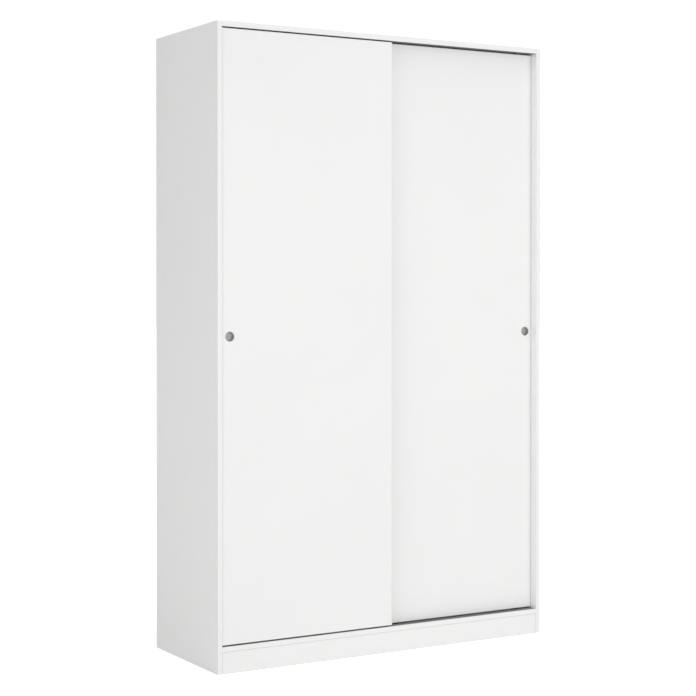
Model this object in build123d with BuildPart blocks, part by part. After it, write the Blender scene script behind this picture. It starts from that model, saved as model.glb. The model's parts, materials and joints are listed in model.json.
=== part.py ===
from build123d import *
import os

# A flat-pack wardrobe with two sliding doors. The origin is on the floor, under the
# middle of the wardrobe. +Z is up and the doors face -Y, so the left door is at -X.
# All sizes are in millimetres.

# ---- Carcass
width = 1350.0
depth = 500.0
height = 2200.0
board = 18.0  # melamine-faced particleboard
plinth_height = 74.0  # floor to the underside of the bottom panel
edge_radius = 0.8  # on the edge-banded edges
lining_gap = 12.0  # from the back of the rear door to the shelves and partition

# ---- Hardboard back
back_board = 3.0
back_gap = 0.5  # between a back board and the side of its rebate
strip_wall = 1.0  # the plastic strip that joins the two back boards
strip_width = 16.0
rebate_width = 8.0  # of the rebate in the sides that the back sits in
back_low_z = plinth_height + 2.0
back_high_z = height - 3.0
nail_radius = 0.8
nail_head_radius = 2.2
nail_length = 18.0
nail_head = 0.5
nail_margin = 20.0  # from the ends of the back boards to the first nail
nail_spacing = 160.0

# ---- Doors and the lanes they run in
door_setback = 3.0  # from the front edge of the sides to the front door
door_pitch = 28.0  # from the front lane to the rear lane
door_gap = 4.5  # above and below each door
door_side_gap = 0.5  # between a closed door and the side panel
door_overlap = 38.0

# ---- Finger pulls
pull_z = 1138.0
pull_inset = 29.0  # from a door's outer edge to the middle of the pull
pull_rim_radius = 17.0
pull_rim_height = 0.8
pull_body_radius = 15.5
pull_mouth_radius = 15.0
pull_floor_radius = 11.5  # the cup's wall tapers in to its floor
pull_depth = 12.0
pull_floor = 1.0

# ---- Tracks, let in flush with the underside of the top panel and the bottom panel's top
channel_mouth = 13.0  # a channel tapers from its mouth to its floor, which centres the roller
channel_floor_width = 7.5
track_wall = 1.0
track_floor = 1.5
groove_depth = 7.5
track_front_margin = 3.0  # from the front edge to the track's front edge
track_rear_margin = 10.0  # from the rear lane to the track's rear edge
track_end_gap = 0.5
track_screw_inset = 110.0  # from the ends of the track to the first screws
track_screw_spacing = 420.0
track_screw_length = 10.0
stop_clearance = 0.2  # between an end stop and its channel's floor and walls
stop_gap = 0.5  # between a closed door's outer roller and the end stop
stop_chamfer = 1.5

# ---- Bottom rollers
roller_inset = 70.0  # from a door's edge to the axle
roller_radius = 15.0
roller_width = 6.5
roller_lift = 0.3  # running clearance over the channel floor
roller_hub_radius = 5.0
roller_web_radius = 11.0  # of the recess in each face
roller_web_recess = 1.4
roller_round = 0.9
roller_hole_circle = 8.0
roller_hole_radius = 1.8
roller_hole_count = 6
axle_radius = 2.0
axle_clearance = 0.05
housing_length = 60.0
housing_width = 11.5
housing_height = 32.0
housing_slot_length = 37.0
housing_slot_width = 7.5
housing_slot_height = 24.0
flange_length = 76.0
flange_width = 14.0
flange_thickness = 2.0
flange_screw_inset = 4.5
flange_screw_length = 18.0
pocket_clearance = 0.2

# ---- Sprung guides in the top edge of each door
guide_inset = 70.0
guide_pin_radius = 3.0
guide_pin_round = 1.2
guide_travel = 10.0  # how far the pin stands out, and how far it is pushed in
guide_collar_radius = 3.9
guide_collar_height = 2.0
guide_sleeve_radius = 6.0
guide_sleeve_depth = 36.0
guide_flange_radius = 8.0
guide_flange_thickness = 1.5
guide_neck_height = 12.0  # the length of sleeve that the pin slides in
guide_spring_room = 4.3  # radius of the bore that holds the spring
guide_spring_radius = 3.3
guide_spring_wire = 0.35
guide_spring_pitch = 2.4
guide_sleeve_floor = 2.0

# ---- Interior
hat_shelf_z = 1852.0  # underside of both hat shelves
shelf_count = 4
shelf_clearance = 1.0  # between an adjustable shelf and the uprights
shelf_back_gap = 1.5
pin_hole_radius = 2.5
pin_hole_depth = 10.0
pin_hole_pitch = 32.0
pin_holes_per_shelf = 5
pin_row_inset = 50.0  # from a shelf's front or back edge to a row of holes
pin_reach = 8.0  # how far a shelf pin stands out
pin_collar_radius = 3.6
pin_collar = 0.8

# ---- Hanging rail: an oval tube across the left bay
rail_z = 1800.0
rail_height = 30.0
rail_width = 15.0
rail_wall = 1.2
rail_y = 27.0
rail_end_gap = 3.0
bracket_plate = 2.5
bracket_plate_height = 58.0
bracket_plate_width = 24.0
bracket_collar = 14.0
bracket_wall = 2.0
bracket_clearance = 0.2
bracket_screw_offset = 22.0
bracket_screw_length = 8.5

# ---- Cams, cam bolts and dowels
cam_radius = 7.5
cam_bore_depth = 13.0
cam_distance = 34.0  # from the end of the board to the middle of the cam
cam_bolt_bore = 4.0
cam_bolt_radius = 3.4
cam_bolt_thread = 3.0
cam_bolt_grip = 11.0  # length screwed into the upright
cam_clearance = 0.1
cam_slot = (9.0, 1.6, 3.0)  # length, width and depth of each bar of the cross
cam_bolt_head_length = 2.5
dowel_radius = 4.0
dowel_length = 30.0
dowel_grip = 12.0  # length in the upright
dowel_clearance = 0.05
dowel_room = 0.5  # past each end of a dowel
cam_rows = (-130.0, 180.0)  # Y of the cams
cam_shift = 24.0  # the right hat shelf's cams are this much further back
dowel_rows = (-165.0, 215.0)  # Y of the dowels

# ---- Wall brackets and small hardware
wall_bracket_x = 333.0
wall_bracket_width = 36.0
wall_bracket_leg = 40.0
wall_bracket_steel = 2.0
wall_hole_radius = 3.25
wall_hole_drop = 24.0  # from the bend of the bracket to the hole in each leg
wall_screw_length = 14.0
screw_radius = 1.75
screw_head_radius = 3.4
screw_head_height = 2.0

# ---- Worked out from the sizes above
front_y = -depth / 2
rear_y = depth / 2
inner_x = width / 2 - board
floor_z = plinth_height + board
ceiling_z = height - board
panel_rear_y = rear_y - strip_wall - back_board
back_rear_y = panel_rear_y + back_board
partition_rear_y = panel_rear_y - strip_wall
door_width = inner_x + door_overlap / 2 - door_side_gap
door_low_z = floor_z + door_gap
door_high_z = ceiling_z - door_gap
front_lane_y = front_y + door_setback + board / 2
rear_lane_y = front_lane_y + door_pitch
lining_y = rear_lane_y + board / 2 + lining_gap
shelf_rear_y = panel_rear_y - shelf_back_gap
shelf_opening = (hat_shelf_z - floor_z - shelf_count * board) / (shelf_count + 1)
shelf_heights = [floor_z + (n + 1) * shelf_opening + n * board for n in range(shelf_count)]
pin_rows = (lining_y + pin_row_inset, shelf_rear_y - pin_row_inset)
channel_floor_z = floor_z - groove_depth + track_floor
axle_z = channel_floor_z + roller_lift + roller_radius
guide_top_z = door_high_z + guide_travel
collar_high_z = door_high_z - guide_neck_height
spring_high_z = collar_high_z - guide_collar_height
spring_low_z = door_high_z - guide_sleeve_depth + guide_sleeve_floor
wall_hole_z = ceiling_z - wall_hole_drop
wall_screw_y = panel_rear_y - wall_hole_drop
track_half_length = inner_x - track_end_gap
track_low_y = front_y + track_front_margin
track_high_y = rear_lane_y + track_rear_margin
dowel_bore = dowel_length - dowel_grip + dowel_room  # in the end of a board

# Each door's middle in X, its lane, and the side (-1 left, +1 right) of its outer edge.
front_door = ((door_overlap / 2) - door_width / 2, front_lane_y, -1)
rear_door = (door_width / 2 - door_overlap / 2, rear_lane_y, 1)

LOW = (Align.MIN, Align.MIN, Align.MIN)
ON_END = (Align.CENTER, Align.CENTER, Align.MIN)
UP = (0, 0, 1)
DOWN = (0, 0, -1)
LEFT = (-1, 0, 0)
RIGHT = (1, 0, 0)
FRONT = (0, -1, 0)
BACK = (0, 1, 0)
across_track = Plane(origin=(0, 0, 0), x_dir=BACK, z_dir=RIGHT)

os.makedirs("parts", exist_ok=True)


def save(part, name):
    """Labels a finished piece and writes it as its own STEP file."""
    part.label = name
    export_step(part, f"parts/{name}.step")


def block(low, high, mode=Mode.ADD):
    """A box between two corners, in the current part."""
    size = [b - a for a, b in zip(low, high)]
    with Locations(low):
        Box(*size, align=LOW, mode=mode)


def rod(point, direction, radius, length, mode=Mode.ADD):
    """A cylinder that starts at a point and runs along a direction, in the current part."""
    with Locations(Plane(origin=point, z_dir=direction)):
        Cylinder(radius, length, align=ON_END, mode=mode)


def bore(point, direction, radius, length):
    """A round hole that starts at a point on a face and runs along a direction."""
    rod(point, direction, radius, length, mode=Mode.SUBTRACT)


def screw(point, direction, length):
    """A countersunk screw whose head is flush with the face that it is driven into."""
    with Locations(Plane(origin=point, z_dir=direction)):
        Cone(screw_head_radius, screw_radius, screw_head_height, align=ON_END)
        Cylinder(screw_radius, length, align=ON_END)


def countersink(point, direction, length):
    """The hole that screw() fills, through a plate of the given thickness."""
    with Locations(Plane(origin=point, z_dir=direction)):
        Cone(screw_head_radius, screw_radius, screw_head_height, align=ON_END, mode=Mode.SUBTRACT)
        Cylinder(screw_radius, length, align=ON_END, mode=Mode.SUBTRACT)


def spread(low, high, spacing):
    """Evenly spaced values from low to high, no further apart than spacing."""
    steps = int((high - low) / spacing) + 1
    return [low + (high - low) * n / steps for n in range(steps + 1)]


# ---- Board joints
# A cam joint is the end of a horizontal board against an upright: (X of the upright's
# face, +1 if the upright is on the board's right, underside Z, how far its cams are
# moved back, so that bolts on the partition's two faces miss each other).
top_ends = [(-inner_x, -1, ceiling_z, 0), (inner_x, 1, ceiling_z, 0)]
bottom_ends = [(-inner_x, -1, plinth_height, 0), (inner_x, 1, plinth_height, 0)]
left_shelf_ends = [(-inner_x, -1, hat_shelf_z, 0), (-board / 2, 1, hat_shelf_z, 0)]
right_shelf_ends = [(board / 2, -1, hat_shelf_z, cam_shift), (inner_x, 1, hat_shelf_z, cam_shift)]
all_ends = top_ends + bottom_ends + left_shelf_ends + right_shelf_ends
dowel_ends = top_ends + bottom_ends
# The partition is cam-bolted up into the top panel and down into the bottom panel.
partition_ends = [(ceiling_z, 1), (floor_z, -1)]
plinth_dowel_z = (plinth_height * 0.3, plinth_height * 0.7)
front_plinth_y = front_y + board / 2
rear_plinth_y = panel_rear_y - board / 2


def bore_board_ends(ends, with_dowels):
    """Bores a horizontal board for the cams, bolts and dowels in its two ends."""
    for x, side, z, shift in ends:
        inward = (-side, 0, 0)
        for y in cam_rows:
            bore((x - side * cam_distance, y + shift, z), UP, cam_radius, cam_bore_depth)
            bore((x, y + shift, z + board / 2), inward, cam_bolt_bore, cam_distance)
        if with_dowels:
            for y in dowel_rows:
                bore((x, y, z + board / 2), inward, dowel_radius, dowel_bore)


def bore_upright(face_x, side):
    """Bores one face of an upright for the bolts and dowels of the boards that meet it."""
    for x, end_side, z, shift in all_ends:
        if x == face_x and end_side == side:
            for y in cam_rows:
                bore((x, y + shift, z + board / 2), (side, 0, 0), cam_bolt_thread, cam_bolt_grip)
    for x, end_side, z, shift in dowel_ends:
        if x == face_x and end_side == side:
            for y in dowel_rows:
                bore((x, y, z + board / 2), (side, 0, 0), dowel_radius, dowel_grip + dowel_room)


def bore_shelf_pin_rows(face_x, side):
    """Bores the rows of shelf pin holes in one face of the right bay."""
    half = (pin_holes_per_shelf - 1) / 2
    for shelf_z in shelf_heights:
        for n in range(pin_holes_per_shelf):
            z = shelf_z - pin_hole_radius + (n - half) * pin_hole_pitch
            for y in pin_rows:
                bore((face_x, y, z), (side, 0, 0), pin_hole_radius, pin_hole_depth)


# ---- Side panels, full height, with a rebate for the back and bores for the plinths
for side, name in ((-1, "left_side_panel"), (1, "right_side_panel")):
    with BuildPart() as side_panel:
        outer = side * width / 2
        inner = side * inner_x
        block((min(inner, outer), front_y, 0), (max(inner, outer), rear_y, height))
        fillet(side_panel.edges(), edge_radius)
        rebate_x = inner + side * rebate_width
        low_x = min(inner - side, rebate_x)
        high_x = max(inner - side, rebate_x)
        block((low_x, panel_rear_y, -1), (high_x, rear_y + 1, height + 1), Mode.SUBTRACT)
        bore_upright(inner, side)
        for y in (front_plinth_y, rear_plinth_y):
            for z in plinth_dowel_z:
                bore((inner, y, z), (side, 0, 0), dowel_radius, dowel_grip + dowel_room)
        if side > 0:
            bore_shelf_pin_rows(inner, side)
    save(side_panel.part, name)


# ---- Top and bottom panels, each with a recess for a track and a groove for each lane
def track_shell(face_z, direction, half_length, mode=Mode.ADD):
    """The web between a track's front and rear edges, and the two channels behind it."""
    web_z = sorted((face_z, face_z + direction * track_wall))
    shell_z = sorted((face_z, face_z + direction * groove_depth))
    block((-half_length, track_low_y, web_z[0]), (half_length, track_high_y, web_z[1]), mode)
    for lane_y in (front_lane_y, rear_lane_y):
        half = channel_mouth / 2 + track_wall
        block((-half_length, lane_y - half, shell_z[0]), (half_length, lane_y + half, shell_z[1]), mode)


with BuildPart() as top_panel:
    block((-inner_x, front_y, ceiling_z), (inner_x, panel_rear_y, height))
    fillet(top_panel.edges().filter_by(Axis.X), edge_radius)
    track_shell(ceiling_z, 1, inner_x + 1, Mode.SUBTRACT)
    bore_board_ends(top_ends, with_dowels=True)
    for y in cam_rows:
        bore((0, y, ceiling_z), UP, cam_bolt_thread, cam_bolt_grip)
save(top_panel.part, "top_panel")

with BuildPart() as bottom_panel:
    block((-inner_x, front_y, plinth_height), (inner_x, panel_rear_y, floor_z))
    fillet(bottom_panel.edges().filter_by(Axis.X), edge_radius)
    track_shell(floor_z, -1, inner_x + 1, Mode.SUBTRACT)
    bore_board_ends(bottom_ends, with_dowels=True)
    for y in cam_rows:
        bore((0, y, floor_z), DOWN, cam_bolt_thread, cam_bolt_grip)
save(bottom_panel.part, "bottom_panel")

# ---- Plinths between the sides, and the rib under the middle of the bottom panel
for y, name in ((front_plinth_y, "front_plinth"), (rear_plinth_y, "rear_plinth")):
    with BuildPart() as plinth:
        block((-inner_x, y - board / 2, 0), (inner_x, y + board / 2, plinth_height))
        fillet(plinth.edges().filter_by(Axis.X), edge_radius)
        for side in (-1, 1):
            for z in plinth_dowel_z:
                bore((side * inner_x, y, z), (-side, 0, 0), dowel_radius, dowel_bore)
    save(plinth.part, name)

with BuildPart() as plinth_rib:
    rib_low_y = front_plinth_y + board / 2
    rib_high_y = rear_plinth_y - board / 2
    block((-board / 2, rib_low_y, 0), (board / 2, rib_high_y, plinth_height))
    fillet(plinth_rib.edges().filter_by(Axis.Y), edge_radius)
save(plinth_rib.part, "plinth_rib")

# ---- Centre partition, cam-bolted to the top and bottom panels
with BuildPart() as centre_partition:
    block((-board / 2, lining_y, floor_z), (board / 2, partition_rear_y, ceiling_z))
    fillet(centre_partition.edges().filter_by(Axis.Z).group_by(Axis.Y)[0], edge_radius)
    bore_upright(-board / 2, 1)
    bore_upright(board / 2, -1)
    bore_shelf_pin_rows(board / 2, -1)
    for end_z, direction in partition_ends:
        for y in cam_rows:
            cam_z = end_z - direction * cam_distance
            bore((board / 2, y, cam_z), LEFT, cam_radius, cam_bore_depth)
            bore((0, y, end_z), (0, 0, -direction), cam_bolt_bore, cam_distance)
save(centre_partition.part, "centre_partition")

# ---- Fixed hat shelves, one over each bay
for ends, name in ((left_shelf_ends, "left_hat_shelf"), (right_shelf_ends, "right_hat_shelf")):
    with BuildPart() as hat_shelf:
        block((ends[0][0], lining_y, hat_shelf_z), (ends[1][0], shelf_rear_y, hat_shelf_z + board))
        fillet(hat_shelf.edges().filter_by(Axis.X).group_by(Axis.Y)[0], edge_radius)
        bore_board_ends(ends, with_dowels=False)
    save(hat_shelf.part, name)

# ---- Adjustable shelves in the right bay, and the pins they lie on
for n, shelf_z in enumerate(shelf_heights, start=1):
    with BuildPart() as shelf:
        low_x = board / 2 + shelf_clearance
        high_x = inner_x - shelf_clearance
        block((low_x, lining_y, shelf_z), (high_x, shelf_rear_y, shelf_z + board))
        fillet(shelf.edges().filter_by(Axis.X).group_by(Axis.Y)[0], edge_radius)
    save(shelf.part, f"adjustable_shelf_{n}")

with BuildPart() as shelf_pins:
    pin_radius = pin_hole_radius - dowel_clearance
    for shelf_z in shelf_heights:
        pin_z = shelf_z - pin_hole_radius
        for face_x, side in ((board / 2, -1), (inner_x, 1)):
            for y in pin_rows:
                rod((face_x, y, pin_z), (side, 0, 0), pin_radius, pin_hole_depth - 1)
                rod((face_x, y, pin_z), (-side, 0, 0), pin_hole_radius, pin_reach)
                rod((face_x, y, pin_z), (-side, 0, 0), pin_collar_radius, pin_collar)
save(shelf_pins.part, "shelf_pins")


# ---- Cams, cam bolts and dowels
def cam(point, direction, bolt_direction):
    """A cam lock: a drum with a cross slot in its face and a pocket for the bolt's head."""
    with Locations(Plane(origin=point, z_dir=direction, x_dir=bolt_direction)):
        Cylinder(cam_radius - cam_clearance, cam_bore_depth - cam_clearance, align=ON_END)
        for turn in (0, 90):
            with Locations(Location((0, 0, 0), (0, 0, turn))):
                Box(*cam_slot, align=ON_END, mode=Mode.SUBTRACT)
        with Locations((cam_radius / 2, 0, board / 2)):
            Box(cam_radius * 1.6, cam_bolt_bore * 2, cam_bolt_bore * 2, mode=Mode.SUBTRACT)


def cam_bolt(point, direction):
    """A cam bolt from the upright's face: its thread goes in, its shank stands out."""
    back = tuple(-value for value in direction)
    rod(point, direction, cam_bolt_thread - dowel_clearance, cam_bolt_grip - 0.5)
    rod(point, back, cam_bolt_radius, cam_distance - cam_radius)
    rod(point, back, cam_bolt_radius / 2, cam_distance)
    head = tuple(p + b * (cam_distance - cam_bolt_head_length) for p, b in zip(point, back))
    rod(head, back, cam_bolt_radius * 0.8, cam_bolt_head_length)


with BuildPart() as cam_locks:
    for x, side, z, shift in all_ends:
        for y in cam_rows:
            cam((x - side * cam_distance, y + shift, z), UP, (side, 0, 0))
    for end_z, direction in partition_ends:
        for y in cam_rows:
            cam((board / 2, y, end_z - direction * cam_distance), LEFT, (0, 0, direction))
save(cam_locks.part, "cam_locks")

with BuildPart() as cam_bolts:
    for x, side, z, shift in all_ends:
        for y in cam_rows:
            cam_bolt((x, y + shift, z + board / 2), (side, 0, 0))
    for end_z, direction in partition_ends:
        for y in cam_rows:
            cam_bolt((0, y, end_z), (0, 0, direction))
save(cam_bolts.part, "cam_bolts")

with BuildPart() as wooden_dowels:
    for x, side, z, shift in dowel_ends:
        for y in dowel_rows:
            start = (x + side * dowel_grip, y, z + board / 2)
            rod(start, (-side, 0, 0), dowel_radius - dowel_clearance, dowel_length)
    for side in (-1, 1):
        for y in (front_plinth_y, rear_plinth_y):
            for z in plinth_dowel_z:
                start = (side * (inner_x + dowel_grip), y, z)
                rod(start, (-side, 0, 0), dowel_radius - dowel_clearance, dowel_length)
save(wooden_dowels.part, "wooden_dowels")

# ---- Hardboard back in two halves, the strip between them, and the nails
for side, name in ((-1, "left_back_panel"), (1, "right_back_panel")):
    with BuildPart() as back_panel:
        edge_x = side * (inner_x + rebate_width - back_gap)
        middle_x = side * strip_wall / 2
        block(
            (min(edge_x, middle_x), panel_rear_y, back_low_z),
            (max(edge_x, middle_x), back_rear_y, back_high_z),
        )
        bore((side * wall_bracket_x, panel_rear_y, wall_hole_z), BACK, wall_hole_radius, back_board)
    save(back_panel.part, name)

with BuildPart() as back_joining_strip:
    low_z = floor_z + back_gap
    high_z = ceiling_z - back_gap
    half = strip_width / 2
    block((-half, partition_rear_y, low_z), (half, panel_rear_y, high_z))
    block((-strip_wall / 2, panel_rear_y, low_z), (strip_wall / 2, back_rear_y, high_z))
    block((-half, back_rear_y, low_z), (half, rear_y, high_z))
save(back_joining_strip.part, "back_joining_strip")


def back_nail(x, z):
    """A flat-headed nail driven forwards through the back."""
    rod((x, back_rear_y, z), FRONT, nail_radius, nail_length)
    rod((x, back_rear_y, z), BACK, nail_head_radius, nail_head)


with BuildPart() as back_nails:
    edge_x = inner_x + rebate_width / 2
    for z in spread(back_low_z + nail_margin, back_high_z - nail_margin, nail_spacing):
        back_nail(-edge_x, z)
        back_nail(edge_x, z)
    for x in spread(board, inner_x - board * 2, nail_spacing):
        for z in (plinth_height + board / 2, ceiling_z + board / 2):
            back_nail(-x, z)
            back_nail(x, z)
save(back_nails.part, "back_nails")


# ---- Tracks: one double channel above the doors and one below
first_screw_x = track_half_length - track_screw_inset
track_screw_xs = spread(-first_screw_x, first_screw_x, track_screw_spacing)


def channel_outline(lane_y, face_z, floor_face_z, inset):
    """The outline across a channel's tapered room, drawn smaller by an inset all round."""
    mouth = channel_mouth / 2 - inset
    floor = channel_floor_width / 2 - inset
    Polygon(
        (lane_y - floor, floor_face_z),
        (lane_y + floor, floor_face_z),
        (lane_y + mouth, face_z),
        (lane_y - mouth, face_z),
        align=None,
    )


def track(face_z, direction):
    """A flat web, flush with a panel's face, with a channel in each groove."""
    floor_face_z = face_z + direction * (groove_depth - track_floor)
    track_shell(face_z, direction, track_half_length)
    for lane_y in (front_lane_y, rear_lane_y):
        with BuildSketch(across_track) as room:
            channel_outline(lane_y, face_z, floor_face_z, 0)
        extrude(room.sketch, amount=track_half_length, both=True, mode=Mode.SUBTRACT)
        for x in track_screw_xs:
            countersink((x, lane_y, floor_face_z), (0, 0, direction), track_floor)


def track_screws_along(face_z, direction):
    """The screws in the floors of a track's channels."""
    floor_face_z = face_z + direction * (groove_depth - track_floor)
    for lane_y in (front_lane_y, rear_lane_y):
        for x in track_screw_xs:
            screw((x, lane_y, floor_face_z), (0, 0, direction), track_screw_length)


with BuildPart() as top_track:
    track(ceiling_z, 1)
save(top_track.part, "top_track")

with BuildPart() as bottom_track:
    track(floor_z, -1)
save(bottom_track.part, "bottom_track")

with BuildPart() as track_screws:
    track_screws_along(ceiling_z, 1)
    track_screws_along(floor_z, -1)
save(track_screws.part, "track_screws")

# The stops fill the ends of the lower channels. A closed door's outer roller comes up to them.
with BuildPart() as track_end_stops:
    roller_reach = (roller_radius**2 - (axle_z - floor_z) ** 2) ** 0.5
    stop_length = door_side_gap + roller_inset - roller_reach - stop_gap - track_end_gap
    for lane_y in (front_lane_y, rear_lane_y):
        for low_x in (-track_half_length, track_half_length - stop_length):
            with BuildSketch(Plane(origin=(low_x, 0, 0), x_dir=BACK, z_dir=RIGHT)):
                channel_outline(lane_y, floor_z, channel_floor_z, stop_clearance)
            extrude(amount=stop_length)
    chamfer(track_end_stops.edges().filter_by(Axis.Y).group_by(Axis.Z)[-1], stop_chamfer)
save(track_end_stops.part, "track_end_stops")

# ---- Hanging rail and its end brackets
rail_left_x = -inner_x + rail_end_gap
rail_right_x = -board / 2 - rail_end_gap
with BuildPart() as hanging_rail:
    with BuildSketch(Plane(origin=(rail_left_x, rail_y, rail_z), x_dir=BACK, z_dir=RIGHT)):
        SlotOverall(rail_height, rail_width, rotation=90)
        SlotOverall(rail_height - 2 * rail_wall, rail_width - 2 * rail_wall, rotation=90, mode=Mode.SUBTRACT)
    extrude(amount=rail_right_x - rail_left_x)
save(hanging_rail.part, "hanging_rail")

bracket_faces = ((-inner_x, 1, "left_rail_bracket"), (-board / 2, -1, "right_rail_bracket"))
for face_x, side, name in bracket_faces:
    with BuildPart() as rail_bracket:
        plate_plane = Plane(origin=(face_x, rail_y, rail_z), x_dir=BACK, z_dir=(side, 0, 0))
        collar_plane = plate_plane.offset(bracket_plate)
        grow = 2 * (bracket_wall + bracket_clearance)
        with BuildSketch(plate_plane):
            SlotOverall(bracket_plate_height, bracket_plate_width, rotation=90)
        extrude(amount=bracket_plate)
        with BuildSketch(collar_plane):
            SlotOverall(rail_height + grow, rail_width + grow, rotation=90)
            SlotOverall(
                rail_height + 2 * bracket_clearance,
                rail_width + 2 * bracket_clearance,
                rotation=90,
                mode=Mode.SUBTRACT,
            )
        extrude(amount=bracket_collar)
        for offset_z in (-bracket_screw_offset, bracket_screw_offset):
            point = (face_x + side * bracket_plate, rail_y, rail_z + offset_z)
            countersink(point, (-side, 0, 0), bracket_plate)
    save(rail_bracket.part, name)

# ---- Wall brackets under the back of the top panel
for side, name in ((-1, "left_wall_bracket"), (1, "right_wall_bracket")):
    with BuildPart() as wall_bracket:
        low_x = side * wall_bracket_x - wall_bracket_width / 2
        high_x = low_x + wall_bracket_width
        leg = wall_bracket_leg
        steel = wall_bracket_steel
        block((low_x, panel_rear_y - leg, ceiling_z - steel), (high_x, panel_rear_y, ceiling_z))
        block((low_x, panel_rear_y - steel, ceiling_z - leg), (high_x, panel_rear_y, ceiling_z))
        fillet(wall_bracket.edges().filter_by(Axis.X).group_by(Axis.Z)[-2], steel * 0.9)
        countersink((side * wall_bracket_x, wall_screw_y, ceiling_z - steel), UP, steel)
        hole_start = (side * wall_bracket_x, panel_rear_y - steel, wall_hole_z)
        bore(hole_start, BACK, wall_hole_radius, steel)
    save(wall_bracket.part, name)

with BuildPart() as bracket_screws:
    for side in (-1, 1):
        point = (side * wall_bracket_x, wall_screw_y, ceiling_z - wall_bracket_steel)
        screw(point, UP, wall_screw_length)
    for face_x, side, name in bracket_faces:
        for offset_z in (-bracket_screw_offset, bracket_screw_offset):
            point = (face_x + side * bracket_plate, rail_y, rail_z + offset_z)
            screw(point, (-side, 0, 0), bracket_screw_length)
save(bracket_screws.part, "bracket_screws")


# ---- Doors
def build_door(door, prefix):
    """One door panel with its pull, roller housings, rollers, guides and screws."""
    middle_x, lane_y, side = door
    face_y = lane_y - board / 2
    pull_x = middle_x + side * (door_width / 2 - pull_inset)
    roller_xs = {
        "left": middle_x - door_width / 2 + roller_inset,
        "right": middle_x + door_width / 2 - roller_inset,
    }

    with BuildPart() as panel:
        low = (middle_x - door_width / 2, face_y, door_low_z)
        high = (middle_x + door_width / 2, face_y + board, door_high_z)
        block(low, high)
        fillet(panel.edges(), edge_radius)
        bore((pull_x, face_y, pull_z), BACK, pull_body_radius, pull_depth)
        for x in roller_xs.values():
            half_length = housing_length / 2 + pocket_clearance
            half_width = housing_width / 2 + pocket_clearance
            block(
                (x - half_length, lane_y - half_width, door_low_z - 1),
                (x + half_length, lane_y + half_width, door_low_z + housing_height + pocket_clearance),
                Mode.SUBTRACT,
            )
            half_length = flange_length / 2 + pocket_clearance
            half_width = flange_width / 2 + pocket_clearance
            block(
                (x - half_length, lane_y - half_width, door_low_z - 1),
                (x + half_length, lane_y + half_width, door_low_z + flange_thickness),
                Mode.SUBTRACT,
            )
            bore((x, lane_y, door_high_z), DOWN, guide_sleeve_radius, guide_sleeve_depth)
            bore((x, lane_y, door_high_z), DOWN, guide_flange_radius, guide_flange_thickness)
    save(panel.part, f"{prefix}_door_panel")

    with BuildPart() as pull:
        with BuildSketch(Plane(origin=(pull_x, face_y, pull_z), x_dir=RIGHT, z_dir=UP)):
            with BuildLine():
                Polyline(
                    (0, pull_depth),
                    (pull_body_radius, pull_depth),
                    (pull_body_radius, 0),
                    (pull_rim_radius, 0),
                    (pull_rim_radius, -pull_rim_height),
                    (pull_mouth_radius, -pull_rim_height),
                    (pull_floor_radius, pull_depth - pull_floor),
                    (0, pull_depth - pull_floor),
                    close=True,
                )
            make_face()
        revolve(axis=Axis((pull_x, face_y, pull_z), BACK))
        circles = pull.edges().filter_by(GeomType.CIRCLE)
        fillet(circles.group_by(Axis.Y)[0], pull_rim_height * 0.45)
        floor_edge = pull.edges().filter_by(GeomType.CIRCLE).group_by(Axis.Y)[-2]
        fillet(floor_edge, pull_floor * 1.5)
    save(pull.part, f"{prefix}_door_pull")

    for place, x in roller_xs.items():
        with BuildPart() as roller_housing:
            block(
                (x - housing_length / 2, lane_y - housing_width / 2, door_low_z),
                (x + housing_length / 2, lane_y + housing_width / 2, door_low_z + housing_height),
            )
            block(
                (x - flange_length / 2, lane_y - flange_width / 2, door_low_z),
                (x + flange_length / 2, lane_y + flange_width / 2, door_low_z + flange_thickness),
            )
            slot_high_z = door_low_z + housing_slot_height
            block(
                (x - housing_slot_length / 2, lane_y - housing_slot_width / 2, door_low_z - 1),
                (x + housing_slot_length / 2, lane_y + housing_slot_width / 2, slot_high_z),
                Mode.SUBTRACT,
            )
            bore((x, lane_y - housing_width / 2, axle_z), BACK, axle_radius, housing_width)
            for end in (-1, 1):
                screw_x = x + end * (flange_length / 2 - flange_screw_inset)
                countersink((screw_x, lane_y, door_low_z), UP, flange_thickness)
        save(roller_housing.part, f"{prefix}_door_{place}_roller_housing")

        with BuildPart() as roller:
            rod((x, lane_y - roller_width / 2, axle_z), BACK, roller_radius, roller_width)
            rim = roller.edges().filter_by(GeomType.CIRCLE)
            fillet(rim, roller_round)
            for face, direction in ((-1, BACK), (1, FRONT)):
                recess = (x, lane_y + face * roller_width / 2, axle_z)
                bore(recess, direction, roller_web_radius, roller_web_recess)
            rod((x, lane_y - roller_width / 2, axle_z), BACK, roller_hub_radius, roller_width)
            bore_radius = axle_radius + axle_clearance
            bore((x, lane_y - roller_width / 2, axle_z), BACK, bore_radius, roller_width)
            with Locations(Plane(origin=(x, lane_y, axle_z), z_dir=BACK)):
                with PolarLocations(roller_hole_circle, roller_hole_count):
                    Cylinder(roller_hole_radius, roller_width, mode=Mode.SUBTRACT)
        save(roller.part, f"{prefix}_door_{place}_roller")

        with BuildPart() as guide_housing:
            rod((x, lane_y, door_high_z), DOWN, guide_sleeve_radius, guide_sleeve_depth)
            rod((x, lane_y, door_high_z), DOWN, guide_flange_radius, guide_flange_thickness)
            slide_radius = guide_pin_radius + axle_clearance
            bore((x, lane_y, door_high_z), DOWN, slide_radius, guide_neck_height)
            spring_room = collar_high_z - spring_low_z
            bore((x, lane_y, collar_high_z), DOWN, guide_spring_room, spring_room)
        save(guide_housing.part, f"{prefix}_door_{place}_guide_housing")

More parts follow.
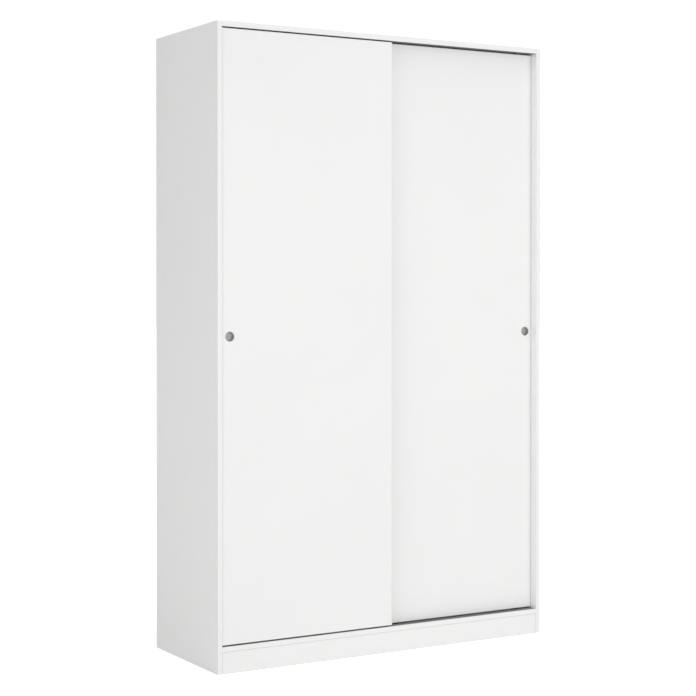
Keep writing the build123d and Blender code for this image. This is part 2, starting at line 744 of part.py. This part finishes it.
        with BuildPart() as guide_pin:
            pin_length = guide_top_z - spring_high_z
            rod((x, lane_y, spring_high_z), UP, guide_pin_radius, pin_length)
            tip_edge = guide_pin.edges().filter_by(GeomType.CIRCLE).sort_by(Axis.Z)[-1]
            fillet(tip_edge, guide_pin_round)
            rod((x, lane_y, spring_high_z), UP, guide_collar_radius, guide_collar_height)
        save(guide_pin.part, f"{prefix}_door_{place}_guide_pin")

        with BuildPart() as guide_spring:
            coil_low_z = spring_low_z + guide_spring_wire
            coil_height = spring_high_z - spring_low_z - 2 * guide_spring_wire
            with BuildLine() as coil:
                Helix(guide_spring_pitch, coil_height, guide_spring_radius, center=(x, lane_y, coil_low_z))
            with BuildSketch(Plane(origin=coil.line @ 0, z_dir=coil.line % 0)):
                Circle(guide_spring_wire)
            sweep(path=coil.line, is_frenet=True)
        save(guide_spring.part, f"{prefix}_door_{place}_guide_spring")

    with BuildPart() as axles:
        for x in roller_xs.values():
            start = (x, lane_y - housing_width / 2, axle_z)
            rod(start, BACK, axle_radius, housing_width)
    save(axles.part, f"{prefix}_door_roller_axles")

    with BuildPart() as housing_screws:
        for x in roller_xs.values():
            for end in (-1, 1):
                screw_x = x + end * (flange_length / 2 - flange_screw_inset)
                screw((screw_x, lane_y, door_low_z), UP, flange_screw_length)
    save(housing_screws.part, f"{prefix}_door_housing_screws")


build_door(front_door, "front")
build_door(rear_door, "rear")
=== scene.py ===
import json
import math

import bmesh
import bpy
from mathutils import Matrix, Vector


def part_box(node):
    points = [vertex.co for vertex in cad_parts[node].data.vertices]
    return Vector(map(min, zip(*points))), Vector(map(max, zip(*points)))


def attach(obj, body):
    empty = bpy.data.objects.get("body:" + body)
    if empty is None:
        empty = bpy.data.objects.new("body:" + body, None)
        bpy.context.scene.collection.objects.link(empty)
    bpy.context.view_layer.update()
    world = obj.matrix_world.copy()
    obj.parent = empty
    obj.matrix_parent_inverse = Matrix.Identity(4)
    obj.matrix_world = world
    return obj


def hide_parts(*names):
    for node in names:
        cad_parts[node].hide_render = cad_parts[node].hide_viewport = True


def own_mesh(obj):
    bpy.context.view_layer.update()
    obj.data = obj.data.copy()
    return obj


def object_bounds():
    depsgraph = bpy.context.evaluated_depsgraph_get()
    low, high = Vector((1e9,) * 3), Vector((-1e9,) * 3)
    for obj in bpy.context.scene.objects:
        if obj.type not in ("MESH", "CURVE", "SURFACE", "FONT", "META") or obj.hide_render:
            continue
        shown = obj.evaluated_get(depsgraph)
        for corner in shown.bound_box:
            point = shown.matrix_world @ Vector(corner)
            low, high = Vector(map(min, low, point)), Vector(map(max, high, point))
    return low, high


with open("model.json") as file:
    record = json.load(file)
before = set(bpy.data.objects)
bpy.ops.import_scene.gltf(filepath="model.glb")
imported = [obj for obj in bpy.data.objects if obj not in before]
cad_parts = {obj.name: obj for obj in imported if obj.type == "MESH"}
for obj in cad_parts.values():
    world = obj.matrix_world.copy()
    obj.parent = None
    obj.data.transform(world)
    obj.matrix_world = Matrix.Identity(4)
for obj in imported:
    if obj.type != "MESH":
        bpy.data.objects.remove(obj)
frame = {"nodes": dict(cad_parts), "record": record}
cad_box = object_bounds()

# A white wardrobe with two sliding doors, in metres. The doors face -Y and +Z is up.
MM = 0.001
low, high = cad_box
nodes = frame["nodes"]

# ---- Camera: a long lens from the front left, a little above mid-height
CAMERA_PLACE = Vector((low.x - 2.469, low.y - 5.0265, 1.3122))
CAMERA_YAW = math.radians(30.647)  # turned from +Y towards +X
CAMERA_PITCH = math.radians(-0.4)
SENSOR = 36.0
FOCAL = SENSOR * 2.3903
SHIFT_Y = -0.0739

camera_data = bpy.data.cameras.new("camera")
camera_data.sensor_width = SENSOR
camera_data.lens = FOCAL
camera_data.shift_y = SHIFT_Y
camera_data.clip_end = 100.0
camera = bpy.data.objects.new("camera", camera_data)
camera.location = CAMERA_PLACE
camera.rotation_euler = (math.pi / 2 + CAMERA_PITCH, 0.0, -CAMERA_YAW)
bpy.context.scene.collection.objects.link(camera)
bpy.context.scene.camera = camera


# ---- Node helpers
def set_range(map_range, *numbers):
    """Sets a Map Range node's two ends going in and its two ends coming out."""
    for key, number in zip(("From Min", "From Max", "To Min", "To Max"), numbers):
        map_range.inputs[key].default_value = number


class Nodes:
    """A material's node tree, with short ways to add nodes and join them."""

    def __init__(self, name):
        self.material = bpy.data.materials.new(name)
        self.material.use_nodes = True
        self.tree = self.material.node_tree
        self.shader = self.tree.nodes["Principled BSDF"]

    def add(self, kind, **settings):
        node = self.tree.nodes.new("ShaderNode" + kind)
        for key, value in settings.items():
            setattr(node, key, value)
        return node

    def link(self, source, target):
        self.tree.links.new(source, target)

    def put(self, value, socket):
        """Sets a socket to a value, or links another socket to it."""
        if isinstance(value, bpy.types.NodeSocket):
            self.link(value, socket)
        else:
            socket.default_value = value

    def math(self, operation, a, b=0.0, clamp=False):
        node = self.add("Math", operation=operation, use_clamp=clamp)
        self.put(a, node.inputs[0])
        self.put(b, node.inputs[1])
        return node.outputs[0]

    def vector(self, operation, a, b=(0.0, 0.0, 0.0)):
        node = self.add("VectorMath", operation=operation)
        self.put(a, node.inputs[0])
        self.put(b, node.inputs[1])
        return node.outputs[0]

    def split(self, vector):
        node = self.add("SeparateXYZ")
        self.put(vector, node.inputs[0])
        return node.outputs

    def place(self, scale=(1.0, 1.0, 1.0)):
        """The point on the piece, in metres, stretched by a scale."""
        return self.vector("MULTIPLY", self.add("TexCoord").outputs["Object"], scale)

    def noise(self, scale, detail=2.0, stretch=(1.0, 1.0, 1.0), roughness=0.5):
        node = self.add("TexNoise")
        self.link(self.place(stretch), node.inputs["Vector"])
        node.inputs["Scale"].default_value = scale
        node.inputs["Detail"].default_value = detail
        node.inputs["Roughness"].default_value = roughness
        return node.outputs["Fac"]

    def cells(self, scale, stretch=(1.0, 1.0, 1.0)):
        node = self.add("TexVoronoi")
        self.link(self.place(stretch), node.inputs["Vector"])
        node.inputs["Scale"].default_value = scale
        return node

    def ramp(self, fac, *stops):
        """A colour ramp: stops are (position, (r, g, b))."""
        node = self.add("ValToRGB")
        self.put(fac, node.inputs[0])
        elements = node.color_ramp.elements
        while len(elements) < len(stops):
            elements.new(0.5)
        for element, (position, colour) in zip(elements, stops):
            element.position = position
            element.color = (*colour, 1.0)
        return node.outputs["Color"]

    def between(self, value, low_in, high_in, low_out, high_out):
        node = self.add("MapRange")
        self.put(value, node.inputs["Value"])
        set_range(node, low_in, high_in, low_out, high_out)
        return node.outputs["Result"]

    def mix(self, fac, a, b):
        """Mixes two colours."""
        node = self.add("Mix", data_type="RGBA")
        self.put(fac, node.inputs[0])
        for socket, value in ((node.inputs[6], a), (node.inputs[7], b)):
            self.put((*value, 1.0) if isinstance(value, tuple) else value, socket)
        return node.outputs[2]

    def bump(self, height, distance, strength=1.0, under=None):
        node = self.add("Bump")
        self.put(height, node.inputs["Height"])
        node.inputs["Distance"].default_value = distance
        node.inputs["Strength"].default_value = strength
        if under is not None:
            self.link(under, node.inputs["Normal"])
        return node.outputs["Normal"]

    def finish(self, color=None, roughness=None, normal=None, **constants):
        """Joins the finished sockets to the shader. The rest are plain values."""
        for key, value in (("Base Color", color), ("Roughness", roughness), ("Normal", normal)):
            if value is not None:
                self.put(value, self.shader.inputs[key])
        for key, value in constants.items():
            self.shader.inputs[key.replace("_", " ")].default_value = value
        return self.material


def assign(node_name, material):
    """Gives a CAD node one material."""
    slots = nodes[node_name].material_slots
    if not slots:
        nodes[node_name].data.materials.append(material)
    for slot in slots:
        slot.material = material


# ---- Materials
WHITE = (0.90, 0.90, 0.895)
EDGE_SHADE_AMOUNT = 0.35  # how far a rounded board edge is darkened by painted shade, which stands in for the shadow line in the seams between boards
CHIP_DARK = (0.26, 0.17, 0.09)
CHIP_MID = (0.46, 0.34, 0.20)
CHIP_PALE = (0.62, 0.50, 0.34)
FIBRE_DARK = (0.16, 0.09, 0.045)
FIBRE_MID = (0.27, 0.165, 0.085)
FIBRE_PALE = (0.38, 0.25, 0.14)
JOINT_GREY = (0.36, 0.35, 0.33)  # the fine line between foil and edge band
# painted shade: the grey laid along rounded board edges in place of the shadow in the seams between
# boards
PAINTED_EDGE_SHADE = (0.40, 0.39, 0.37)


def chipboard(n):
    """Colour and height of raw particleboard: flat chips of many sizes, pressed together."""
    chips = n.cells(420.0, (1.0, 1.0, 0.45))
    colour = n.ramp(
        n.split(chips.outputs["Color"])[0], (0.0, CHIP_DARK), (0.45, CHIP_MID), (1.0, CHIP_PALE)
    )
    grain = n.noise(1500.0, 3.0, (1.0, 1.0, 0.3))
    colour = n.mix(n.math("MULTIPLY", grain, 0.35), colour, CHIP_DARK)
    return colour, chips.outputs["Distance"]


def melamine(name, node_name, raw_rear=False, raw_low=False):
    """White melamine board: foil on the faces, banded edges with a fine joint line, painted shade
    along the rounded edges, and raw particleboard in the bores, in the grooves and on the faces that
    no one sees."""
    n = Nodes(name)
    box_low, box_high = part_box(node_name)
    point = n.place()
    from_low = n.split(n.vector("SUBTRACT", point, tuple(box_low)))
    from_high = n.split(n.vector("SUBTRACT", tuple(box_high), point))
    nearest = [n.math("MINIMUM", a, b) for a, b in zip(from_low, from_high)]
    depth = n.math("MINIMUM", n.math("MINIMUM", nearest[0], nearest[1]), nearest[2])
    core = n.between(depth, 0.5 * MM, 0.6 * MM, 0.0, 1.0)
    if raw_rear:
        rear = n.math("LESS_THAN", from_high[1], 0.3 * MM)
        core = n.math("MAXIMUM", core, rear)
    if raw_low:
        under = n.math("LESS_THAN", from_low[2], 0.3 * MM)
        core = n.math("MAXIMUM", core, under)

    # The joint between foil and edge band runs 1 mm in from each edge of a face.
    thin = min(range(3), key=lambda axis: box_high[axis] - box_low[axis])
    across = [nearest[axis] for axis in range(3) if axis != thin]
    edge = n.math("MINIMUM", *across)
    joint = n.math("ABSOLUTE", n.math("SUBTRACT", edge, 1.0 * MM))
    joint = n.math("LESS_THAN", joint, 0.14 * MM)
    joint = n.math("MULTIPLY", joint, n.math("LESS_THAN", nearest[thin], 0.2 * MM))

    cloud = n.noise(2.3, 3.0)
    foil = n.ramp(cloud, (0.3, tuple(c * 0.985 for c in WHITE)), (0.7, WHITE))
    foil = n.mix(n.math("MULTIPLY", joint, 0.6), foil, JOINT_GREY)
    # Painted shade: the rounded edges are greyed, standing in for the shadow line in the seams where
    # boards meet.
    corner = n.math("ADD", edge, nearest[thin])
    foil = n.mix(n.between(corner, 0.6 * MM, 1.1 * MM, EDGE_SHADE_AMOUNT, 0.0), foil, PAINTED_EDGE_SHADE)
    raw, chips = chipboard(n)
    colour = n.mix(core, foil, raw)

    pearl = n.noise(900.0, 2.0)
    smudge = n.noise(7.0, 4.0, roughness=0.6)
    gloss = n.between(smudge, 0.3, 0.75, 0.34, 0.42)
    roughness = n.math("ADD", gloss, n.math("MULTIPLY", core, 0.45))
    normal = n.bump(pearl, 0.02 * MM, 0.35)
    normal = n.bump(n.math("MULTIPLY", chips, core), 0.4 * MM, 0.6, normal)
    return n.finish(colour, roughness, normal, Specular_IOR_Level=0.5)


def hardboard():
    """Hardboard: white foil on the inside, bare brown fibre on the outside."""
    n = Nodes("hardboard")
    normal_y = n.split(n.add("TexCoord").outputs["Normal"])[1]
    inside = n.math("LESS_THAN", normal_y, -0.5)
    fibre = n.noise(900.0, 5.0, (1.0, 1.0, 0.35), 0.7)
    blotch = n.noise(9.0, 4.0)
    brown = n.ramp(fibre, (0.25, FIBRE_DARK), (0.5, FIBRE_MID), (0.8, FIBRE_PALE))
    brown = n.mix(n.between(blotch, 0.35, 0.7, 0.0, 0.3), brown, (0.33, 0.21, 0.12))
    colour = n.mix(inside, brown, WHITE)
    mesh = n.math("MULTIPLY", n.cells(700.0).outputs["Distance"], n.math("SUBTRACT", 1.0, inside))
    roughness = n.between(inside, 0.0, 1.0, 0.72, 0.42)
    return n.finish(colour, roughness, n.bump(mesh, 0.15 * MM, 0.5))


def plastic(name, colour, roughness=0.42, streak_axis=None, grain=1200.0):
    """Moulded or extruded plastic: a fine spark-eroded grain, and draw lines if extruded."""
    n = Nodes(name)
    tone = n.noise(60.0, 3.0)
    shade = n.ramp(tone, (0.3, tuple(c * 0.93 for c in colour)), (0.7, colour))
    height = n.noise(grain, 2.0)
    if streak_axis is not None:
        stretch = [1.0, 1.0, 1.0]
        stretch[streak_axis] = 0.004
        height = n.math("ADD", height, n.noise(2500.0, 2.0, tuple(stretch)))
    rough = n.between(n.noise(35.0, 3.0), 0.3, 0.7, roughness - 0.05, roughness + 0.07)
    return n.finish(shade, rough, n.bump(height, 0.03 * MM, 0.5))


def metal(name, colour, roughness, scratch=(1.0, 1.0, 0.02), spangle=0.0):
    """Plated or brushed metal, with fine scratches along one direction."""
    n = Nodes(name)
    lines = n.noise(1800.0, 3.0, scratch, 0.65)
    cloud = n.noise(45.0, 3.0)
    shade = n.ramp(lines, (0.25, tuple(c * 0.86 for c in colour)), (0.75, colour))
    if spangle:
        patch = n.split(n.cells(260.0).outputs["Color"])[0]
        shade = n.mix(n.math("MULTIPLY", patch, spangle), shade, tuple(c * 0.7 for c in colour))
    rough = n.between(cloud, 0.3, 0.7, roughness - 0.05, roughness + 0.08)
    return n.finish(shade, rough, n.bump(lines, 0.01 * MM, 0.4), Metallic=1.0)


def beech():
    """Turned beech with its grain along X."""
    n = Nodes("beech")
    grain = n.noise(320.0, 4.0, (0.06, 1.0, 1.0), 0.6)
    flecks = n.cells(900.0, (0.2, 1.0, 1.0)).outputs["Distance"]
    shade = n.ramp(grain, (0.3, (0.52, 0.34, 0.19)), (0.7, (0.72, 0.53, 0.34)))
    shade = n.mix(n.between(flecks, 0.0, 0.25, 0.25, 0.0), shade, (0.36, 0.22, 0.12))
    return n.finish(shade, 0.6, n.bump(grain, 0.1 * MM, 0.4))


GREY_TRACK = (0.20, 0.205, 0.21)
zinc = metal("zinc", (0.66, 0.67, 0.69), 0.34, spangle=0.25)
steel_wire = metal("spring_steel", (0.42, 0.43, 0.45), 0.3, (1.0, 1.0, 1.0))
chrome = metal("chrome", (0.80, 0.81, 0.82), 0.09, (0.01, 1.0, 1.0))
satin_nickel = metal("satin_nickel", (0.64, 0.64, 0.635), 0.33, (1.0, 0.05, 1.0))
grey_track = plastic("grey_track", GREY_TRACK, 0.45, streak_axis=0)
white_plastic = plastic("white_plastic", (0.82, 0.82, 0.80), 0.4, streak_axis=2)
black_plastic = plastic("black_plastic", (0.035, 0.035, 0.038), 0.48)
SLOT_MATERIALS = {
    "hardboard": hardboard(),
    "white_plastic": white_plastic,
    "track_grey": grey_track,
    "satin_nickel": satin_nickel,
    "chrome_plate": chrome,
    "zinc_steel": zinc,
    "spring_steel": steel_wire,
    "beech": beech(),
    "black_plastic": black_plastic,
}
RAW_REAR = ("left_side_panel", "right_side_panel", "centre_partition")
for subpart in frame["record"]["subparts"]:
    name = subpart["node"]
    if subpart["material_slot"] == "white_melamine":
        shelf = "shelf" in name
        assign(name, melamine(name, name, raw_rear=shelf or name in RAW_REAR, raw_low="side" in name))
    else:
        assign(name, SLOT_MATERIALS[subpart["material_slot"]])


# ---- Screws with a thread and a cross recess, in place of the plain ones
SEGMENTS = 24
THREAD_PITCH = 1.4 * MM
THREAD_ROWS = 4  # rows of vertices for each turn of the thread
RECESS_ARM = 1.9 * MM  # from the middle to the end of an arm of the cross
RECESS_HALF_WIDTH = 0.42 * MM
RECESS_DEPTH = 1.3 * MM
HEAD_HEIGHT = 2.0 * MM
RECESS_TAPER = 0.45  # the recess's floor against its mouth, along an arm
CORE_SHARE = 0.72  # a screw's core against its thread
QUARTERS = ((1, 0), (0, 1), (-1, 0), (0, -1))
TURN_EACH = 0.7  # radians from one screw's cross to the next one's


def islands(node_name):
    """The separate solids of a CAD node, each as a list of points."""
    mesh = bmesh.new()
    mesh.from_mesh(nodes[node_name].data)
    bmesh.ops.remove_doubles(mesh, verts=mesh.verts, dist=0.001 * MM)
    found = []
    unseen = set(mesh.verts)
    while unseen:
        reached = [unseen.pop()]
        for vert in reached:
            near = {edge.other_vert(vert) for edge in vert.link_edges} & unseen
            unseen -= near
            reached.extend(near)
        found.append([vert.co.copy() for vert in reached])
    mesh.free()
    return found


def ring(mesh, radius, height, ridge=0.0):
    """A ring of vertices. A ridge turns it into a slice across a screw's thread."""
    verts = []
    for n in range(SEGMENTS):
        angle = 2 * math.pi * n / SEGMENTS
        turn = (height / THREAD_PITCH - n / SEGMENTS) % 1.0
        r = radius + ridge * (1 - abs(2 * turn - 1)) ** 2
        verts.append(mesh.verts.new((r * math.cos(angle), r * math.sin(angle), height)))
    return verts


def join_rings(mesh, first, second):
    """Joins two rings of vertices with a band of faces."""
    for n in range(len(first)):
        m = (n + 1) % len(first)
        mesh.faces.new((first[n], first[m], second[m], second[n]))


def edges_round(mesh, verts):
    """The edges of a closed loop of vertices."""
    pairs = zip(verts, verts[1:] + verts[:1])
    return [mesh.edges.get(pair) or mesh.edges.new(pair) for pair in pairs]


def cross(mesh, arm, half_width, height):
    """The twelve corners of a cross."""
    verts = []
    for x, y in QUARTERS:
        for along, across in ((half_width, -half_width), (arm, -half_width), (arm, half_width)):
            verts.append(mesh.verts.new((along * x - across * y, along * y + across * x, height)))
    return verts


def add_screw(mesh, head_radius, shank_radius, length, place):
    """A countersunk screw with the middle of its head at the origin of place, running along +Z."""
    new = bmesh.new()
    rim = ring(new, head_radius, 0.0)
    top = cross(new, RECESS_ARM, RECESS_HALF_WIDTH, 0.0)
    bmesh.ops.triangle_fill(new, edges=edges_round(new, rim) + edges_round(new, top), use_beauty=True)
    low_cross = cross(new, RECESS_ARM * RECESS_TAPER, RECESS_HALF_WIDTH * 0.7, RECESS_DEPTH)
    join_rings(new, top, low_cross)
    new.faces.new(low_cross)
    last = rim
    core = shank_radius * CORE_SHARE
    rows = int((length - HEAD_HEIGHT) / THREAD_PITCH * THREAD_ROWS)
    for n in range(rows + 1):
        fade = min(1.0, (rows - n) / (2.0 * THREAD_ROWS))
        height = HEAD_HEIGHT + (length - HEAD_HEIGHT) * n / rows
        here = ring(new, core * (0.25 + 0.75 * fade), height, (shank_radius - core) * fade)
        join_rings(new, last, here)
        last = here
    new.faces.new(last)
    bmesh.ops.recalc_face_normals(new, faces=new.faces)
    bmesh.ops.transform(new, matrix=place, verts=new.verts)
    made = bpy.data.meshes.new("one_screw")
    new.to_mesh(made)
    new.free()
    mesh.from_mesh(made)
    bpy.data.meshes.remove(made)


def stand_in(mesh, name, material, body, node_name):
    """A new piece from a mesh, in place of a CAD node."""
    data = bpy.data.meshes.new(name)
    mesh.to_mesh(data)
    mesh.free()
    data.materials.append(material)
    piece = bpy.data.objects.new(name, data)
    bpy.context.scene.collection.objects.link(piece)
    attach(piece, body)
    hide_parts(node_name)
    return piece


def make_screws(node_name, body):
    """Replaces a CAD node of plain screws, keeping each one's place, size and direction."""
    mesh = bmesh.new()
    for count, points in enumerate(islands(node_name)):
        least = Vector([min(p[axis] for p in points) for axis in range(3)])
        most = Vector([max(p[axis] for p in points) for axis in range(3)])
        size = most - least
        axis = max(range(3), key=lambda a: size[a])
        centre = (least + most) / 2
        across = (axis + 1) % 3
        head_radius = size[across] / 2
        low_reach, high_reach = (
            max(abs(p[across] - centre[across]) for p in points if abs(p[axis] - end) < 0.01 * MM)
            for end in (least[axis], most[axis])
        )
        at_low = low_reach > high_reach
        start = centre.copy()
        start[axis] = least[axis] if at_low else most[axis]
        direction = Vector([0.0, 0.0, 0.0])
        direction[axis] = 1.0 if at_low else -1.0
        shank_radius = min(low_reach, high_reach)
        turned = direction.to_track_quat("Z", "Y").to_matrix().to_4x4()
        turned = turned @ Matrix.Rotation(count * TURN_EACH, 4, "Z")
        add_screw(mesh, head_radius, shank_radius, size[axis], Matrix.Translation(start) @ turned)
    stand_in(mesh, node_name + "_threaded", zinc, body, node_name)


for body, screw_node in (
    ("carcass", "track_screws"),
    ("carcass", "bracket_screws"),
    ("front_door", "front_door_housing_screws"),
    ("rear_door", "rear_door_housing_screws"),
):
    make_screws(screw_node, body)

# ---- Guide springs, as coils of wire between each guide's sleeve and its pin's collar
SPRING_TURNS = 8
SPRING_STEPS = 28  # rings of vertices for each turn
WIRE_SIDES = 10
WIRE_RADIUS = 0.35 * MM
EVENNESS = 2.2  # a higher number spaces the coils more evenly


def make_spring(door, side):
    """A coil of wire between the foot of a guide's sleeve and its pin's collar."""
    cad_name = f"{door}_{side}_guide_spring"
    least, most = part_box(cad_name)
    centre = (least + most) / 2
    coil_radius = (most.x - least.x) / 2 - WIRE_RADIUS
    bottom = least.z + WIRE_RADIUS
    height = most.z - least.z - 2 * WIRE_RADIUS
    mesh = bmesh.new()
    last = None
    steps = SPRING_TURNS * SPRING_STEPS
    for n in range(steps + 1):
        share = n / steps
        angle = 2 * math.pi * SPRING_TURNS * share
        out = Vector((math.cos(angle), math.sin(angle), 0.0))
        # The coils lie closer together at both ends.
        lift = share - math.sin(2 * math.pi * share) / (2 * math.pi) / EVENNESS
        middle = Vector((centre.x, centre.y, bottom + height * lift)) + out * coil_radius
        verts = []
        for m in range(WIRE_SIDES):
            turn = 2 * math.pi * m / WIRE_SIDES
            offset = out * math.cos(turn) + Vector((0.0, 0.0, math.sin(turn)))
            verts.append(mesh.verts.new(middle + offset * WIRE_RADIUS))
        if last:
            join_rings(mesh, last, verts)
        else:
            mesh.faces.new(verts)
        last = verts
    mesh.faces.new(last)
    bmesh.ops.recalc_face_normals(mesh, faces=mesh.faces)
    spring = stand_in(mesh, cad_name + "_coil", steel_wire, door, cad_name)
    spring.data.shade_smooth()
    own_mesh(spring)


for door in ("front_door", "rear_door"):
    for side in ("left", "right"):
        make_spring(door, side)

# ---- Floor and light
FLOOR_HALF = 40.0
FLOOR_GLOW = 0.65  # seen by the camera only
FRONT_LIGHT = 0.64
REAR_LIGHT = 0.20
BACKDROP_WHITE = 1.05
FLOOR_CORNERS = ((-1, -1), (1, -1), (1, 1), (-1, 1))
floor_mesh = bpy.data.meshes.new("floor")
corners = [(x * FLOOR_HALF, y * FLOOR_HALF, low.z) for x, y in FLOOR_CORNERS]
floor_mesh.from_pydata(corners, [], [(0, 1, 2, 3)])
floor = bpy.data.objects.new("floor", floor_mesh)
bpy.context.scene.collection.objects.link(floor)
f = Nodes("floor")
paper = f.noise(3.0, 3.0)
paper_white = f.ramp(paper, (0.3, (0.84, 0.84, 0.84)), (0.7, (0.86, 0.86, 0.86)))
backlight = f.math("MULTIPLY", f.add("LightPath").outputs["Is Camera Ray"], FLOOR_GLOW)
f.put(backlight, f.shader.inputs["Emission Strength"])
f.shader.inputs["Emission Color"].default_value = (1.0, 1.0, 1.0, 1.0)
floor_mesh.materials.append(f.finish(paper_white, 0.9, Specular_IOR_Level=0.1))

# The studio's walls light the wardrobe more from the front, and look pure white themselves.
world = bpy.data.worlds.new("studio")
bpy.context.scene.world = world
world.use_nodes = True
tree = world.node_tree
walls = tree.nodes["Background"]
walls.inputs["Color"].default_value = (1.0, 1.0, 1.0, 1.0)
heading = tree.nodes.new("ShaderNodeSeparateXYZ")
front_to_back = tree.nodes.new("ShaderNodeMapRange")
set_range(front_to_back, -0.05, 0.3, FRONT_LIGHT, REAR_LIGHT)
tree.links.new(tree.nodes.new("ShaderNodeTexCoord").outputs["Generated"], heading.inputs[0])
tree.links.new(heading.outputs["Y"], front_to_back.inputs["Value"])
tree.links.new(front_to_back.outputs["Result"], walls.inputs["Strength"])
backdrop = tree.nodes.new("ShaderNodeBackground")
backdrop.inputs["Color"].default_value = (1.0, 1.0, 1.0, 1.0)
backdrop.inputs["Strength"].default_value = BACKDROP_WHITE
seen = tree.nodes.new("ShaderNodeLightPath")
choose = tree.nodes.new("ShaderNodeMixShader")
tree.links.new(seen.outputs["Is Camera Ray"], choose.inputs[0])
tree.links.new(walls.outputs[0], choose.inputs[1])
tree.links.new(backdrop.outputs[0], choose.inputs[2])
tree.links.new(choose.outputs[0], tree.nodes["World Output"].inputs["Surface"])


def lamp(name, kind, place, target, energy, **settings):
    """A light at a place, facing a point."""
    data = bpy.data.lights.new(name, kind)
    data.energy = energy
    for key, value in settings.items():
        setattr(data, key, value)
    light = bpy.data.objects.new(name, data)
    light.location = place
    light.rotation_euler = (Vector(target) - Vector(place)).to_track_quat("-Z", "Y").to_euler()
    light.visible_glossy = False  # bare metal reflects the even walls, not the lamps
    bpy.context.scene.collection.objects.link(light)


middle = (low + high) / 2
lamp("ceiling", "SUN", (0.0, 0.0, 6.0), (0.0, 0.0, 0.0), 0.9, angle=math.radians(60.0))
lamp("key", "AREA", (1.6, -4.9, 1.9), middle, 56.0, shape="RECTANGLE", size=2.8, size_y=1.6)
lamp("fill", "AREA", (-5.8, -2.2, 1.9), middle, 68.0, shape="RECTANGLE", size=2.4, size_y=1.6)

bpy.context.scene.view_settings.view_transform = "Standard"
bpy.context.scene.view_settings.look = "None"
